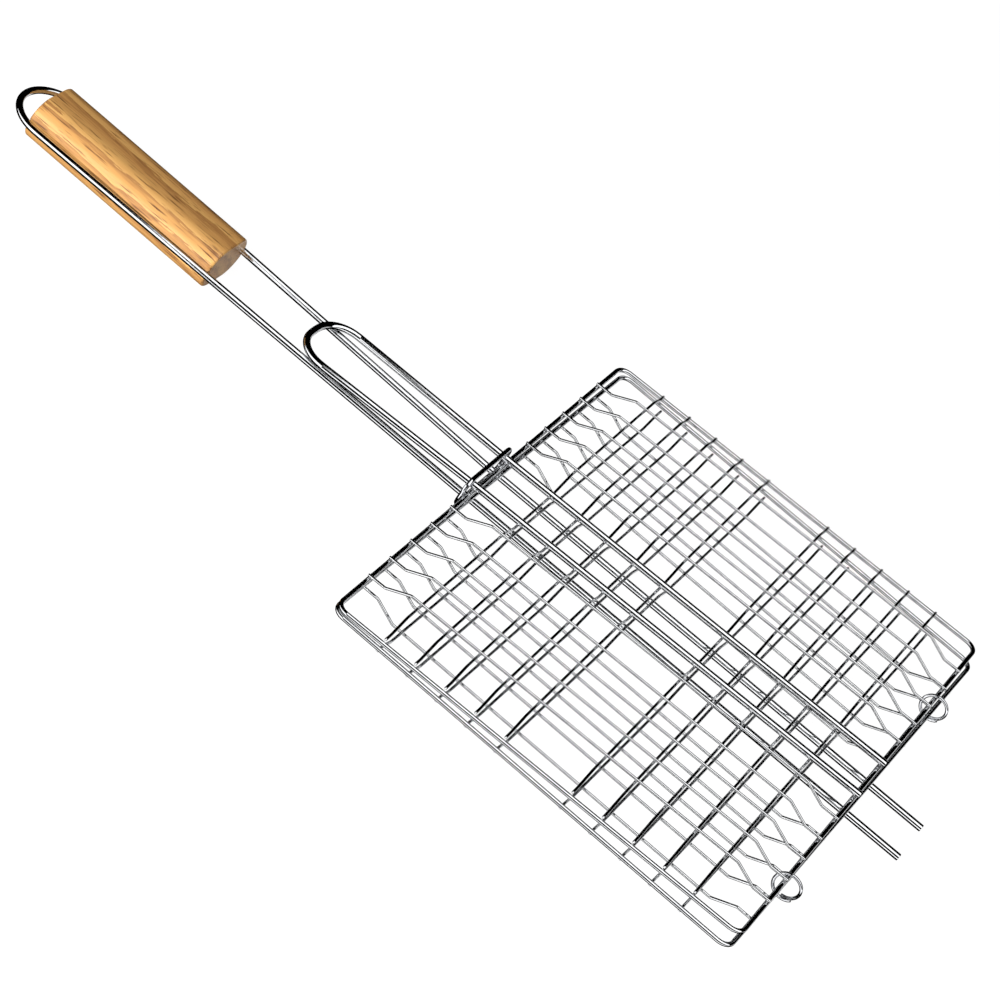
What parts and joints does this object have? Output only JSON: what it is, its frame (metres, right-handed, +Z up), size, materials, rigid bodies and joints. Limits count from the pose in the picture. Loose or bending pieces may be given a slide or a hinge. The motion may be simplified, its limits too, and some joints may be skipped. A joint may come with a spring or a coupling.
{
  "type": "hinged wire grill basket",
  "caption": "Flat hinged wire grill basket: chromed wire trays joined by rings, with a sliding latch ring on a lid handle and a long wire handle with wooden grip and hanging loop.",
  "frame": {"origin": "centre of the bounding box in plan, at the lowest point, which is under the grip", "axes": "+X from the grip towards the hinged end, along the handle; +Y across the basket; +Z up, out of the closed lid"},
  "size_m": [0.5874, 0.3156, 0.0292],
  "materials": {
    "handle_steel": "bright chrome plate on 4 mm steel wire",
    "rim_steel": "bright chrome plate on 2.5 mm steel wire",
    "grid_steel": "bright chrome plate on 1.5 mm steel wire",
    "ring_steel": "bright chrome plate on bent steel wire",
    "grip_wood": "satin lacquer on warm brown wood, bare end grain"
  },
  "bodies": {
    "base": {"base_rim": "rim_steel", "base_cross_wire_01": "grid_steel", "base_cross_wire_02": "grid_steel", "base_cross_wire_03": "grid_steel", "base_cross_wire_04": "grid_steel", "base_cross_wire_05": "grid_steel", "base_cross_wire_06": "grid_steel", "base_cross_wire_07": "grid_steel", "base_cross_wire_08": "grid_steel", "base_cross_wire_09": "grid_steel", "base_cross_wire_10": "grid_steel", "base_long_wire_01": "grid_steel", "base_long_wire_02": "grid_steel", "base_long_wire_03": "grid_steel", "base_long_wire_04": "grid_steel", "base_long_wire_05": "grid_steel", "base_long_wire_06": "grid_steel", "base_long_wire_07": "grid_steel", "base_long_wire_08": "grid_steel", "base_long_wire_09": "grid_steel", "base_long_wire_10": "grid_steel", "long_handle_wire": "handle_steel", "grip": "grip_wood"},
    "lid": {"lid_rim": "rim_steel", "lid_cross_wire_01": "grid_steel", "lid_cross_wire_02": "grid_steel", "lid_cross_wire_03": "grid_steel", "lid_cross_wire_04": "grid_steel", "lid_cross_wire_05": "grid_steel", "lid_cross_wire_06": "grid_steel", "lid_cross_wire_07": "grid_steel", "lid_cross_wire_08": "grid_steel", "lid_cross_wire_09": "grid_steel", "lid_cross_wire_10": "grid_steel", "lid_long_wire_01": "grid_steel", "lid_long_wire_02": "grid_steel", "lid_long_wire_03": "grid_steel", "lid_long_wire_04": "grid_steel", "lid_long_wire_05": "grid_steel", "lid_long_wire_06": "grid_steel", "lid_long_wire_07": "grid_steel", "lid_long_wire_08": "grid_steel", "lid_long_wire_09": "grid_steel", "lid_long_wire_10": "grid_steel", "short_handle_wire": "handle_steel"},
    "latch_ring": {"latch_ring": "ring_steel"},
    "hinge_ring_left": {"hinge_ring_left": "ring_steel"},
    "hinge_ring_right": {"hinge_ring_right": "ring_steel"}
  },
  "joints": [
    {"name": "lid_hinge", "type": "hinge", "parent": "base", "child": "lid", "pos_m": [0.25807, 0.0016, 0.02053], "axis": [0, 1, 0], "range_deg": [0, 180]},
    {"name": "latch_slide", "type": "slide", "parent": "base", "child": "latch_ring", "axis": [-1, 0, 0], "range_m": [0, 0.165]},
    {"name": "hinge_ring_left_turn", "type": "hinge", "parent": "base", "child": "hinge_ring_left", "pos_m": [0.26047, 0.0946, 0.01653], "axis": [0, 1, 0], "range_deg": [0, 90]},
    {"name": "hinge_ring_right_turn", "type": "hinge", "parent": "base", "child": "hinge_ring_right", "pos_m": [0.26047, -0.0979, 0.01653], "axis": [0, 1, 0], "range_deg": [0, 90]}
  ],
  "couplings": [
    {"joint": "hinge_ring_left_turn", "follows": "lid_hinge", "ratio": 0.5},
    {"joint": "hinge_ring_right_turn", "follows": "lid_hinge", "ratio": 0.5}
  ]
}
